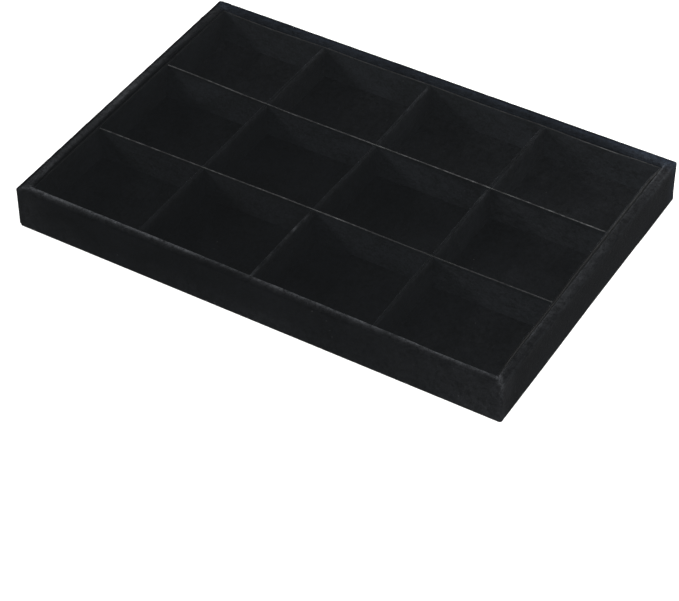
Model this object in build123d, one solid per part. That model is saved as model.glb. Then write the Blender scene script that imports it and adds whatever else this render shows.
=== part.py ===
from build123d import *
import os

# Jewelry display tray: a shallow open case of thin boards wrapped in black velvet,
# lined with velvet-faced card strips, and divided into twelve cells by a drop-in
# grid of half-lapped dividers.  Millimetres.
# Frame: origin at the centre of the underside, +X along the long side (to the right),
# -Y is the front long side, +Z up.

os.makedirs("parts", exist_ok=True)

# ---------------------------------------------------------------- driving sizes
LENGTH = 350.0          # overall, along X
DEPTH = 240.0           # overall, along Y
HEIGHT = 30.0           # overall, along Z

VELVET = 0.8            # velvet on the case walls (backing and pile)
WALL = 4.2              # wall board
CORNER_R = 1.6          # outer upright corners of the velvet
RIM_OUT_R = 1.3         # outer edge of the rim
RIM_IN_R = 0.9          # inner edge of the rim
TURN_IN = 12.0          # how far the velvet turns down inside the walls
HEM = 12.0              # how far it turns in under the base

PAPER = 0.3             # paper sheet that closes the underside
PAPER_INSET = 5.0
HEM_T = 0.3             # velvet pressed flat under the base
BASE = 1.5              # bottom board
FLOOR_T = 0.5           # velvet sheet on the floor

LINER_CARD = 0.9        # card strip that lines each wall
LINER_VELVET = 0.5      # velvet on its visible side
LINER_DROP = 3.0        # top of liners and dividers below the rim

LONG_CARD = 1.0         # long dividers: card with a velvet facing each side
LONG_FACE = 0.3
SHORT_CARD = 1.2        # short dividers: card with velvet folded over its top
SHORT_FACE = 0.5

END_GAP = 0.3           # each divider end to its liner
LAP_GAP = 0.15          # each side of a divider in the slot that it passes
LAP_Z_GAP = 0.15        # above and below the middle of a lap
FLOOR_GAP = 0.1         # divider foot to the floor velvet
SEAM_GAP = 0.15         # butt seam of the velvet wrap
SEAM_X = -166.0         # where that seam is, on the back wall

COLUMNS, ROWS = 4, 3
PITCH_X = 84.8          # between the middles of the short dividers
PITCH_Y = 76.5          # between the middles of the long dividers
GRID_X = -2.7           # the grid stands a little left of the middle of the case
GRID_Y = 0.7            # and a little to the back

STAPLE_CROWN = 6.0      # wire staples that hold the bottom board to the walls
STAPLE_LEG = 9.0
WIRE_W, WIRE_T = 0.9, 0.6
BRAD_D, BRAD_L = 1.1, 16.0          # headed brads that hold the corners
BRAD_HEAD_D, BRAD_HEAD_T = 1.8, 0.5

# ---------------------------------------------------------------- levels and lines
Z_HEM = PAPER                       # 0.3
Z_BASE = Z_HEM + HEM_T              # 0.6
Z_BASE_TOP = Z_BASE + BASE          # 2.1
Z_FLOOR = Z_BASE_TOP + FLOOR_T      # 2.6
Z_TOP = HEIGHT - LINER_DROP         # 27.0, top of liners and dividers
Z_WALL_TOP = HEIGHT - VELVET        # 29.2

XO, YO = LENGTH / 2, DEPTH / 2                  # outside of the velvet
XW, YW = XO - VELVET, YO - VELVET               # outside of the boards
XI, YI = XW - WALL, YW - WALL                   # inside of the boards
XV, YV = XI - VELVET, YI - VELVET               # inside of the turned-in velvet
XC, YC = XV - LINER_CARD, YV - LINER_CARD       # inside of the liner cards
XL, YL = XC - LINER_VELVET, YC - LINER_VELVET   # clear inside of the case

LONG_T = LONG_CARD + 2 * LONG_FACE              # 1.6
SHORT_T = SHORT_CARD + 2 * SHORT_FACE           # 2.2
SHORT_X = [GRID_X + PITCH_X * (i - (COLUMNS - 2) / 2) for i in range(COLUMNS - 1)]
LONG_Y = [GRID_Y + PITCH_Y * (j - (ROWS - 2) / 2) for j in range(ROWS - 1)]
Z_LAP = (Z_FLOOR + Z_TOP) / 2                   # middle of the half laps
Z_FOOT = Z_FLOOR + FLOOR_GAP


def block(x0, x1, y0, y1, z0, z1):
    """A box between those coordinates."""
    return Pos((x0 + x1) / 2, (y0 + y1) / 2, (z0 + z1) / 2) * Box(
        abs(x1 - x0), abs(y1 - y0), abs(z1 - z0)
    )


def save(shape, name):
    solids = list(shape.solids()) if not isinstance(shape, list) else [
        s for part in shape for s in part.solids()
    ]
    made = solids[0] if len(solids) == 1 else Compound(children=solids)
    made.label = name
    export_step(made, f"parts/{name}.step")
    print(name, len(solids), "solids", round(sum(s.volume for s in solids), 1), "mm3")


# ---------------------------------------------------------------- fasteners
XM, YM = (XW + XI) / 2, (YW + YI) / 2       # middle of the wall boards


def staple(x, y, turned):
    """A wire staple, its crown flush with the underside of the bottom board."""
    made = Pos(0, 0, WIRE_T / 2) * Box(STAPLE_CROWN, WIRE_W, WIRE_T)
    for side in (-1, 1):
        made = made + Pos(side * (STAPLE_CROWN - WIRE_T) / 2, 0, STAPLE_LEG / 2) * Box(
            WIRE_T, WIRE_W, STAPLE_LEG
        )
    return Pos(x, y, Z_BASE) * Rot(0, 0, 90 if turned else 0) * made


def brad(sx, sy, z):
    """A headed brad through a long wall into the end of a short wall."""
    shank = Pos(sx * XM, sy * (YW - BRAD_L / 2), z) * Rot(90, 0, 0) * Cylinder(BRAD_D / 2, BRAD_L)
    head = Pos(sx * XM, sy * (YW - BRAD_HEAD_T / 2), z) * Rot(90, 0, 0) * Cylinder(
        BRAD_HEAD_D / 2, BRAD_HEAD_T
    )
    return shank + head


staples = [staple(x, sy * YM, False) for x in (-140, -70, 0, 70, 140) for sy in (-1, 1)]
staples += [staple(sx * XM, y, True) for y in (-75, 0, 75) for sx in (-1, 1)]
brads = [brad(sx, sy, z) for sx in (-1, 1) for sy in (-1, 1) for z in (9.0, 22.5)]
save(staples, "base_staples")
save(brads, "corner_brads")


def drilled(board):
    """The board with the holes that its staples and brads have made."""
    return board - [f for f in staples + brads if f.bounding_box().overlaps(board.bounding_box())]


# ---------------------------------------------------------------- boards of the case
bottom_board = block(-XW, XW, -YW, YW, Z_BASE, Z_BASE_TOP)
front_wall = block(-XW, XW, -YW, -YI, Z_BASE_TOP, Z_WALL_TOP)
back_wall = block(-XW, XW, YI, YW, Z_BASE_TOP, Z_WALL_TOP)
left_wall = block(-XW, -XI, -YI, YI, Z_BASE_TOP, Z_WALL_TOP)
right_wall = block(XI, XW, -YI, YI, Z_BASE_TOP, Z_WALL_TOP)

save(drilled(bottom_board), "bottom_board")
save(drilled(front_wall), "front_wall_board")
save(drilled(back_wall), "back_wall_board")
save(drilled(left_wall), "left_wall_board")
save(drilled(right_wall), "right_wall_board")

# ---------------------------------------------------------------- velvet wrap
# One strip round the outside, over the rim, down the inside and under the base.
wrap = block(-XO, XO, -YO, YO, Z_HEM, HEIGHT)
wrap = fillet(wrap.edges().filter_by(Axis.Z), CORNER_R)
wrap = fillet(wrap.faces().sort_by(Axis.Z)[-1].edges(), RIM_OUT_R)
mouth = block(-XV, XV, -YV, YV, -1.0, HEIGHT + 1.0)
wrap = wrap - mouth
rim_inner = wrap.faces().sort_by(Axis.Z)[-1].inner_wires()[0].edges()
wrap = fillet(rim_inner, RIM_IN_R)
z_turn = HEIGHT - TURN_IN
wrap = wrap - block(-XI, XI, -YI, YI, Z_BASE_TOP, z_turn)     # no velvet below the turn-in
wrap = wrap - bottom_board - front_wall - back_wall - left_wall - right_wall
hem = block(-XW, XW, -YW, YW, Z_HEM, Z_BASE) - block(
    -XO + HEM, XO - HEM, -YO + HEM, YO - HEM, Z_HEM - 1, Z_BASE + 1
)
wrap = wrap + hem
wrap = wrap - block(SEAM_X - SEAM_GAP / 2, SEAM_X + SEAM_GAP / 2, YV - 20, YO + 1, -1, HEIGHT + 1)
save(wrap, "velvet_wrap")

# ---------------------------------------------------------------- underside and floor
base_paper = block(
    -XO + PAPER_INSET, XO - PAPER_INSET, -YO + PAPER_INSET, YO - PAPER_INSET, 0, PAPER
)
base_paper = chamfer(base_paper.edges().filter_by(Axis.Z), 2.0)      # corners cut off
save(base_paper, "base_paper")

floor_velvet = block(-XI, XI, -YI, YI, Z_BASE_TOP, Z_FLOOR)
save(floor_velvet, "floor_velvet")

# ---------------------------------------------------------------- wall liners
# The long strips run the whole length, the short ones fit between them.
save(block(-XV, XV, -YV, -YC, Z_FLOOR, Z_TOP), "front_liner_card")
save(block(-XV, XV, YC, YV, Z_FLOOR, Z_TOP), "back_liner_card")
save(block(-XV, -XC, -YC, YC, Z_FLOOR, Z_TOP), "left_liner_card")
save(block(XC, XV, -YC, YC, Z_FLOOR, Z_TOP), "right_liner_card")
save(block(-XC, XC, -YC, -YL, Z_FLOOR, Z_TOP), "front_liner_velvet")
save(block(-XC, XC, YL, YC, Z_FLOOR, Z_TOP), "back_liner_velvet")
save(block(-XC, -XL, -YL, YL, Z_FLOOR, Z_TOP), "left_liner_velvet")
save(block(XL, XC, -YL, YL, Z_FLOOR, Z_TOP), "right_liner_velvet")

# ---------------------------------------------------------------- short dividers
# Slots open upwards, so the long dividers drop down over them.
for x, side in zip(SHORT_X, ("left", "middle", "right")):
    y_end = YL - END_GAP
    core = block(x - SHORT_CARD / 2, x + SHORT_CARD / 2, -y_end, y_end, Z_FOOT, Z_TOP - SHORT_FACE)
    whole = block(x - SHORT_T / 2, x + SHORT_T / 2, -y_end, y_end, Z_FOOT, Z_TOP)
    top = whole.faces().sort_by(Axis.Z)[-1].edges().filter_by(Axis.Y)
    whole = fillet(top, 0.7)
    slots = [
        block(
            x - 5, x + 5,
            y - LONG_T / 2 - LAP_GAP, y + LONG_T / 2 + LAP_GAP,
            Z_LAP - LAP_Z_GAP, Z_TOP + 5,
        )
        for y in LONG_Y
    ]
    cover = whole - core
    for slot in slots:
        core = core - slot
        cover = cover - slot
    save(core, f"short_divider_{side}_card")
    save(cover, f"short_divider_{side}_velvet")

# ---------------------------------------------------------------- long dividers
# Slots open downwards; the top edge runs unbroken over the laps.
for y, side in zip(LONG_Y, ("front", "back")):
    x_end = XL - END_GAP
    core = block(-x_end, x_end, y - LONG_CARD / 2, y + LONG_CARD / 2, Z_FOOT, Z_TOP)
    faces = [
        block(-x_end, x_end, y - LONG_T / 2, y - LONG_CARD / 2, Z_FOOT, Z_TOP),
        block(-x_end, x_end, y + LONG_CARD / 2, y + LONG_T / 2, Z_FOOT, Z_TOP),
    ]
    for x in SHORT_X:
        slot = block(
            x - SHORT_T / 2 - LAP_GAP, x + SHORT_T / 2 + LAP_GAP,
            y - 5, y + 5, Z_FOOT - 5, Z_LAP + LAP_Z_GAP,
        )
        core = core - slot
        faces = [f - slot for f in faces]
    save(core, f"long_divider_{side}_card")
    save(faces, f"long_divider_{side}_velvet")

cell_x = [-XL] + [v for x in SHORT_X for v in (x - SHORT_T / 2, x + SHORT_T / 2)] + [XL]
cell_y = [-YL] + [v for y in LONG_Y for v in (y - LONG_T / 2, y + LONG_T / 2)] + [YL]
print("cell edges along X", [round(v, 3) for v in cell_x])
print("cell edges along Y", [round(v, 3) for v in cell_y])
print("floor", Z_FLOOR, "divider tops", Z_TOP, "laps", Z_LAP)
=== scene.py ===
import math
import bmesh
import bpy
import numpy as np
from mathutils import Matrix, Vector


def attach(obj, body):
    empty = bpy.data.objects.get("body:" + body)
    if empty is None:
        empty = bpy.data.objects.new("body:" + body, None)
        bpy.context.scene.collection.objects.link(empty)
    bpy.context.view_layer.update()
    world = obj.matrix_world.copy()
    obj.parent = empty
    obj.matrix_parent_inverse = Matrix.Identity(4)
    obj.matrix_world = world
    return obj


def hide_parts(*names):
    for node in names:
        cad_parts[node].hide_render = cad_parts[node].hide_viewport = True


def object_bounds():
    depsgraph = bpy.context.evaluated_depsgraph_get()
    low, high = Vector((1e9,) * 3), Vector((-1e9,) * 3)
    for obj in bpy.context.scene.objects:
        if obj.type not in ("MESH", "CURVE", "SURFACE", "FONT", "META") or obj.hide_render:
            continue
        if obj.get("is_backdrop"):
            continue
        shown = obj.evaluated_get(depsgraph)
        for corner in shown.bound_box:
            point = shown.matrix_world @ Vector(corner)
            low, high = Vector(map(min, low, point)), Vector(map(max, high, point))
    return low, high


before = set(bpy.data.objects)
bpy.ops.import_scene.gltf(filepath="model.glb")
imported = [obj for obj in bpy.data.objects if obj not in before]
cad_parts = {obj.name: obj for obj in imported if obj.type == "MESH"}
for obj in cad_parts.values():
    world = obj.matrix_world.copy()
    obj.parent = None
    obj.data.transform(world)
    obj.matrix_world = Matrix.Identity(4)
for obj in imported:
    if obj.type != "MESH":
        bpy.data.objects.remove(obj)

# Jewelry display tray: black velvet case with a drop-in grid of dividers.
# Lengths in the mesh code are millimetres; everything is put down in metres.
CAD_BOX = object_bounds()
MM = 0.001

# ------------------------------------------------------------------ sizes of the part
XO, YO, HEIGHT = 175.0, 120.0, 30.0
XI, YI = 170.0, 115.0            # inside of the boards
XV, YV = 169.2, 114.2            # inside of the turned-in velvet
XC, YC = 168.3, 113.3            # inside of the liner cards
XL, YL = 167.8, 112.8            # clear inside
Z_BASE_TOP, Z_FLOOR, Z_FOOT = 2.1, 2.6, 2.7
Z_LAP, Z_TOP = 14.8, 27.0
SHORT_X = (-87.5, -2.7, 82.1)
LONG_Y = (-37.55, 38.95)
SEAM_X = -166.0


# how far the top edge of each strip stands off its straight line (along the strip, offset), and
# how much of that is felt at a height: card strips this thin are never quite straight
LONG_BOW = {
    "front": ((-168, -0.80), (-147, -0.72), (-108, -0.30), (-66, 0.02), (-26, 0.36), (19, 0.36), (61, -0.05), (105, -0.18), (146, 0.10), (168, 0.20)),
    "back": ((-168, 3.00), (-147, 2.70), (-108, 1.22), (-66, 0.22), (-26, 0.20), (19, 0.12), (61, -0.10), (105, -0.52), (146, -1.05), (168, -1.20)),
}
SHORT_BOW = {
    "left": ((-113, 0.20), (-57, 0.30), (-16, 0.30), (20, 0.15), (60, 0.30), (94, 0.70), (113, 0.80)),
    "middle": ((-113, -2.00), (-92, -2.00), (-57, -1.85), (-16, -1.30), (20, -0.45), (60, -0.40), (94, -0.90), (113, -1.00)),
    "right": ((-113, 0.50), (-92, 0.40), (-57, -0.20), (-16, -0.20), (20, -0.70), (60, -0.60), (94, -0.10), (113, 0.10)),
}
BACK_BOW = (
    (-168, 0.1), (-150, 0.9), (-128, 1.4), (-105, 1.0), (-84, 0.5), (-60, 1.1), (-30, 0.95), (-5, 0.55), (30, 1.2),
    (60, 1.2), (76, 1.0), (92, 1.2), (112, 1.9), (136, 2.0), (150, 1.3), (168, 1.1),
)
RIGHT_BOW = ((-113, 1.0), (-98, 1.6), (-84, 1.9), (-50, 1.7), (-28, 1.8), (-14, 2.1), (14, 2.2), (84, 2.2), (98, 2.2), (106, 1.6), (113, 0.7))


def bow(table, u):
    at, off = zip(*table)
    return np.interp(u, at, off)


def felt(z, low=10.0):
    t = np.clip((z - low) / (Z_TOP - low), 0.0, 1.3)
    return t * t * (3.0 - 2.0 * np.minimum(t, 1.0))


# ------------------------------------------------------------------ helpers
def lattice(ix, iy, iz, seed):
    """A repeatable random number from -1 to 1 for each lattice point."""
    h = (ix * 374761393 + iy * 668265263 + iz * 2147483647 + seed * 1274126177) & 0xFFFFFFFF
    h = ((h ^ (h >> 13)) * 1274126177) & 0xFFFFFFFF
    h = h ^ (h >> 16)
    return (h & 0xFFFFFF) / float(0xFFFFFF) * 2.0 - 1.0


def noise(p, wave, seed):
    """Smooth noise from -1 to 1 at points p (mm), with features about wave mm across."""
    q = np.asarray(p, float) / wave + 1000.5
    i = np.floor(q).astype(np.int64)
    f = q - i
    f = f * f * (3.0 - 2.0 * f)
    total = np.zeros(q.shape[:-1])
    for dx in (0, 1):
        wx = f[..., 0] if dx else 1.0 - f[..., 0]
        for dy in (0, 1):
            wy = f[..., 1] if dy else 1.0 - f[..., 1]
            for dz in (0, 1):
                wz = f[..., 2] if dz else 1.0 - f[..., 2]
                total += wx * wy * wz * lattice(i[..., 0] + dx, i[..., 1] + dy, i[..., 2] + dz, seed)
    return total


def spaced(a, b, step, fine=(), fine_step=0.3, reach=3.0):
    """Coordinates from a to b about step apart, closer within reach of each value in fine."""
    marks = sorted({a, b, *[v for v in fine if a < v < b]})
    out = [marks[0]]
    for lo, hi in zip(marks, marks[1:]):
        x = lo
        while True:
            near = min([abs(x - m) for m in fine] + [1e9])
            far = min([abs(hi - x) if hi in fine else 1e9] + [1e9])
            s = fine_step if min(near, far) < reach else step
            if x + s > hi - 0.35 * s:
                break
            x += s
            out.append(x)
        out.append(hi)
    return np.array(out)


def smooth01(x):
    x = np.clip(x, 0.0, 1.0)
    return x * x * (3.0 - 2.0 * x)


def plate(name, us, vs, front, back, keep=None, sharp=50.0, paint=None):
    """A closed sheet: front and back surfaces over a (u, v) grid, joined along every free edge.

    paint(u, v) gives the number 0..1 kept as a point attribute ("wear_and_painted_light"), which the materials turn
    into painted light and shade.
    """
    U, V = np.meshgrid(us, vs, indexing="ij")
    F, B = front(U, V), back(U, V)
    nu, nv = U.shape
    if keep is None:
        cells = np.ones((nu - 1, nv - 1), bool)
    else:
        cells = keep(0.5 * (U[1:, 1:] + U[:-1, :-1]), 0.5 * (V[1:, 1:] + V[:-1, :-1]))
    idx = np.arange(nu * nv).reshape(nu, nv)
    n = nu * nv
    I, J = np.nonzero(cells)
    a, b, c, d = idx[I, J], idx[I + 1, J], idx[I + 1, J + 1], idx[I, J + 1]
    quads = [np.stack([a, b, c, d], 1), np.stack([a + n, d + n, c + n, b + n], 1)]
    pad = np.zeros((nu + 1, nv + 1), bool)
    pad[1:-1, 1:-1] = cells
    for free, (p, q) in (
        (~pad[I, J + 1], (a, d)), (~pad[I + 2, J + 1], (c, b)),
        (~pad[I + 1, J], (b, a)), (~pad[I + 1, J + 2], (d, c)),
    ):
        p, q = p[free], q[free]
        quads.append(np.stack([p, q, q + n, p + n], 1))
    quads = np.concatenate(quads)
    verts = np.concatenate([F.reshape(-1, 3), B.reshape(-1, 3)]) * MM
    used = np.unique(quads)
    remap = np.full(2 * n, -1)
    remap[used] = np.arange(len(used))
    ob = mesh_of(name, verts[used], remap[quads], sharp)
    if paint is not None:
        value = np.concatenate([paint(U, V).ravel()] * 2)[used]
        ob.data.attributes.new("wear_and_painted_light", "FLOAT", "POINT").data.foreach_set("value", value.astype(np.float32))
    return ob


def mesh_of(name, verts, faces, sharp=50.0):
    me = bpy.data.meshes.new(name)
    me.vertices.add(len(verts))
    me.vertices.foreach_set("co", np.ascontiguousarray(verts, np.float32).ravel())
    faces = np.asarray(faces, np.int32)
    me.loops.add(faces.size)
    me.loops.foreach_set("vertex_index", faces.ravel())
    me.polygons.add(len(faces))
    me.polygons.foreach_set("loop_start", np.arange(0, faces.size, faces.shape[1], dtype=np.int32))
    me.polygons.foreach_set("loop_total", np.full(len(faces), faces.shape[1], np.int32))
    me.update(calc_edges=True)
    me.validate()
    bm = bmesh.new()
    bm.from_mesh(me)
    bmesh.ops.recalc_face_normals(bm, faces=bm.faces)
    bm.to_mesh(me)
    bm.free()
    me.polygons.foreach_set("use_smooth", np.ones(len(me.polygons), bool))
    me.set_sharp_from_angle(angle=math.radians(sharp))
    ob = bpy.data.objects.new(name, me)
    bpy.context.scene.collection.objects.link(ob)
    return ob


def placed(ob, body, slot, material, *nodes):
    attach(ob, body)
    if nodes:
        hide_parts(*nodes)
    ob.data.materials.clear()
    ob.data.materials.append(material)
    return ob


# ------------------------------------------------------------------ materials
class Nodes:
    """Small helper for building a material's node tree."""

    def __init__(self, name):
        self.mat = bpy.data.materials.new(name)
        self.mat.use_nodes = True
        self.tree = self.mat.node_tree
        self.tree.nodes.clear()
        self.out = self.tree.nodes.new("ShaderNodeOutputMaterial")
        self.bsdf = self.tree.nodes.new("ShaderNodeBsdfPrincipled")
        self.link(self.bsdf.outputs["BSDF"], self.out.inputs["Surface"])
        self.coord = self.tree.nodes.new("ShaderNodeTexCoord").outputs["Object"]

    def link(self, a, b):
        self.tree.links.new(a, b)

    def set(self, **values):
        for key, v in values.items():
            self.bsdf.inputs[key.replace("_", " ").title().replace("Ior", "IOR")].default_value = v

    def noise(self, scale, detail=3.0, rough=0.55, distortion=0.0, coord=None):
        n = self.tree.nodes.new("ShaderNodeTexNoise")
        n.inputs["Scale"].default_value = scale
        n.inputs["Detail"].default_value = detail
        n.inputs["Roughness"].default_value = rough
        n.inputs["Distortion"].default_value = distortion
        self.link(coord or self.coord, n.inputs["Vector"])
        return n.outputs["Fac"]

    def voronoi(self, scale, feature="F1", coord=None, randomness=1.0):
        n = self.tree.nodes.new("ShaderNodeTexVoronoi")
        n.feature = feature
        n.inputs["Scale"].default_value = scale
        n.inputs["Randomness"].default_value = randomness
        self.link(coord or self.coord, n.inputs["Vector"])
        return n.outputs["Distance"]

    def stretch(self, x, y, z):
        n = self.tree.nodes.new("ShaderNodeMapping")
        n.inputs["Scale"].default_value = (x, y, z)
        self.link(self.coord, n.inputs["Vector"])
        return n.outputs["Vector"]

    def math(self, op, a, b, clamp=False):
        n = self.tree.nodes.new("ShaderNodeMath")
        n.operation = op
        n.use_clamp = clamp
        for i, v in enumerate((a, b)):
            if isinstance(v, (int, float)):
                n.inputs[i].default_value = v
            else:
                self.link(v, n.inputs[i])
        return n.outputs[0]

    def blend(self, parts):
        """Weighted sum of (output, weight) pairs."""
        total = None
        for out, w in parts:
            v = self.math("MULTIPLY", out, w)
            total = v if total is None else self.math("ADD", total, v)
        return total

    def span(self, value, lo, hi, to_lo, to_hi):
        n = self.tree.nodes.new("ShaderNodeMapRange")
        for key, v in (("From Min", lo), ("From Max", hi), ("To Min", to_lo), ("To Max", to_hi)):
            n.inputs[key].default_value = v
        self.link(value, n.inputs["Value"])
        return n.outputs["Result"]

    def ramp(self, value, stops):
        n = self.tree.nodes.new("ShaderNodeValToRGB")
        e = n.color_ramp.elements
        while len(e) < len(stops):
            e.new(0.5)
        for el, (pos, col) in zip(e, stops):
            el.position = pos
            el.color = (*col, 1.0)
        self.link(value, n.inputs["Fac"])
        return n.outputs["Color"]

    def mix(self, fac, a, b, mode="MIX"):
        n = self.tree.nodes.new("ShaderNodeMix")
        n.data_type = "RGBA"
        n.blend_type = mode
        for key, v in (("Factor", fac), ("A", a), ("B", b)):
            sock = [s for s in n.inputs if s.name == key and (s.type == "RGBA" if key != "Factor" else s.type == "VALUE")][0]
            if isinstance(v, (int, float)):
                sock.default_value = v
            elif isinstance(v, tuple):
                sock.default_value = (*v, 1.0)
            else:
                self.link(v, sock)
        return [s for s in n.outputs if s.type == "RGBA"][0]

    def bump(self, height, distance, strength=1.0, after=None):
        n = self.tree.nodes.new("ShaderNodeBump")
        n.inputs["Strength"].default_value = strength
        n.inputs["Distance"].default_value = distance
        self.link(height, n.inputs["Height"])
        if after is not None:
            self.link(after, n.inputs["Normal"])
        return n.outputs["Normal"]

    def base(self, out):
        self.link(out, self.bsdf.inputs["Base Color"])

    def roughness(self, out):
        self.link(out, self.bsdf.inputs["Roughness"])

    def normal(self, out):
        self.link(out, self.bsdf.inputs["Normal"])


def velvet(name, shade, along=(1.0, 1.0, 1.0), tint=(0.78, 0.87, 1.0), wear_and_painted_light=None, nap=0.7, bluish_sheen_cast=None):
    """Short black cotton velvet: nap patches, clumps of pile and a grazing sheen.

    shade is how light it is next to the others. The colour argument after along is mixed in by the point attribute of
    the same name: above zero it is a painted highlight and sheen, most where the pile is parted over a fold; below zero
    the colour is darkened, as painted shade. nap is the depth of the clumps. The last argument is a blue cast painted
    on towards the back of the case, a painted tint of the sheen there.
    """
    m = Nodes(name)
    dark, light = (tuple(shade * c for c in ends) for ends in (DARK, LIGHT))
    stroked = m.stretch(*along)
    patches = m.noise(26.0, 2.0, 0.5, 0.6, stroked)        # nap brushed one way and the other, cm wide
    clumps = m.noise(330.0, 3.0, 0.6, 0.4, stroked)        # pile that stands in clumps, mm wide
    tufts = m.noise(950.0, 2.0, 0.6)                       # single tufts
    pile = m.noise(2400.0, 2.0, 0.7)                       # tips of the pile
    tone = m.blend([(patches, 0.28), (clumps, 0.34), (tufts, 0.38)])
    colour = m.ramp(tone, [(0.40, dark), (0.50, tuple(0.5 * (a + b) for a, b in zip(dark, light))), (0.60, light)])
    lint = m.span(m.noise(620.0, 1.0, 0.4), 0.82, 0.86, 0.0, 1.0)   # a rare fleck of lint
    colour = m.mix(lint, colour, (0.045, 0.045, 0.046))
    # the point attribute paints highlight and sheen above zero and shade below zero
    if wear_and_painted_light is not None:
        paint_amount = m.tree.nodes.new("ShaderNodeAttribute")
        paint_amount.attribute_name = "wear_and_painted_light"
        # below zero the colour is darkened towards black, as painted shade
        paint_weight = m.math("MULTIPLY", paint_amount.outputs["Fac"], -1.0, True)
        colour = m.mix(paint_weight, colour, (0.0002, 0.0002, 0.0002))
        speckle = m.span(m.blend([(clumps, 0.45), (m.noise(1100.0, 2.0, 0.6), 0.55)]), 0.36, 0.64, 0.15, 1.85)
        colour = m.mix(m.math("MULTIPLY", paint_amount.outputs["Fac"], speckle, True), colour, wear_and_painted_light)
    # a blue cast painted on towards the back: a painted tint of the sheen there
    if bluish_sheen_cast is not None:
        place = m.tree.nodes.new("ShaderNodeSeparateXYZ")
        m.link(m.coord, place.inputs[0])
        back = m.span(place.outputs["Y"], 0.108, 0.118, 0.0, 1.0)
        colour = m.mix(back, colour, m.mix(1.0, colour, bluish_sheen_cast, "MULTIPLY"))
    m.base(colour)
    m.roughness(m.span(clumps, 0.3, 0.7, 0.84, 1.0))
    fine = m.bump(pile, 0.00022, 0.55)
    m.normal(m.bump(m.blend([(clumps, 0.7), (patches, 0.3)]), 0.0008, nap, fine))
    m.bsdf.inputs["Specular IOR Level"].default_value = 0.08 * shade
    m.bsdf.inputs["Sheen Weight"].default_value = SHEEN * shade
    m.bsdf.inputs["Sheen Roughness"].default_value = SHEEN_R
    m.bsdf.inputs["Sheen Tint"].default_value = (*tint, 1.0)
    return m.mat


SHEEN = 0.115
SHEEN_R = 0.20
DARK = (0.0017, 0.0021, 0.0023)
LIGHT = (0.0073, 0.0083, 0.0099)
# colour of the painted highlight and sheen mixed into the velvets, partly also pile parted on folds
PAINTED_LIGHT = (0.0355, 0.0370, 0.0400)
# each velvet's shade is set to how light its piece looks, so part of the difference between pieces is painted light and
# shade; the left liner velvet is a copy of the liner velvet painted darker, as painted shade
wrap_mat = velvet("wrap_velvet_cloth", 0.23, wear_and_painted_light=tuple(1.5 * c for c in PAINTED_LIGHT), bluish_sheen_cast=(0.76, 0.96, 1.28))
floor_mat = velvet("floor_velvet_cloth", 0.41, (1.0, 0.8, 1.0), wear_and_painted_light=PAINTED_LIGHT)
liner_mat = velvet("liner_velvet_cloth", 1.00, (0.8, 0.8, 1.3), wear_and_painted_light=PAINTED_LIGHT, nap=0.55)
left_liner_mat = velvet("left_liner_velvet_cloth", 0.82, (0.8, 0.8, 1.3), wear_and_painted_light=PAINTED_LIGHT, nap=0.35)
long_mat = velvet("long_divider_velvet_cloth", 0.68, (0.8, 1.0, 1.3), wear_and_painted_light=PAINTED_LIGHT)
short_mat = velvet("short_divider_velvet_cloth", 0.64, (1.0, 0.8, 1.3), wear_and_painted_light=PAINTED_LIGHT, nap=0.35)


def card_material(name, dark, light, gloss=0.25):
    """Grey card: matted paper fibres, and a torn, dusty cut edge, lighter where the point attribute is above zero,
    partly dust and wear and partly a painted highlight, and darker below zero, as painted shade.
    """
    m = Nodes(name)
    fibres = m.noise(900.0, 4.0, 0.65, 1.2, m.stretch(0.35, 0.35, 1.6))
    flecks = m.noise(3200.0, 2.0, 0.6)
    wear = m.noise(170.0, 3.0, 0.6)
    crumbs = m.noise(430.0, 2.0, 0.5)
    tone = m.blend([(fibres, 0.20), (flecks, 0.12), (wear, 0.34), (crumbs, 0.34)])
    # below zero the edge is darkened as painted shade; above zero it is lightened, partly dust and wear, partly a
    # painted highlight
    edge_wear_and_light = m.tree.nodes.new("ShaderNodeAttribute")
    edge_wear_and_light.attribute_name = "wear_and_painted_light"
    dull = m.math("MULTIPLY", edge_wear_and_light.outputs["Fac"], -1.0, True)
    plain_edge = m.mix(dull, m.ramp(tone, [(0.44, dark), (0.56, light)]), dark)
    m.base(m.mix(m.math("MAXIMUM", edge_wear_and_light.outputs["Fac"], 0.0), plain_edge, m.ramp(tone, [(0.44, light), (0.56, tuple(3.2 * c for c in light))])))
    m.roughness(m.span(fibres, 0.3, 0.7, 0.75, 0.98))
    m.normal(m.bump(m.blend([(fibres, 0.6), (flecks, 0.4)]), 0.00025, 0.8))
    m.bsdf.inputs["Specular IOR Level"].default_value = gloss
    return m.mat


card_mat = card_material("cut_card", (0.0026, 0.0027, 0.0027), (0.0195, 0.0200, 0.0200))
# The liner cards are one grey card in copies: the back and right ones painted lighter and the left one darker, after
# how lit the top edge of each side is, as painted light and shade.
liner_card_mat = card_material("cut_liner_card", (0.0046, 0.0047, 0.0048), (0.0182, 0.0186, 0.0190))
right_card_lit_mat = card_material("cut_right_card_painted_lighter", (0.0055, 0.0056, 0.0057), (0.0165, 0.0169, 0.0173), 0.15)
left_card_mat = card_material("cut_left_card", (0.0026, 0.0027, 0.0028), (0.0060, 0.0062, 0.0063), 0.10)
dark_card_mat = card_material("cut_dark_card", (0.0014, 0.0015, 0.0016), (0.0036, 0.0037, 0.0038), 0.06)


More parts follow.
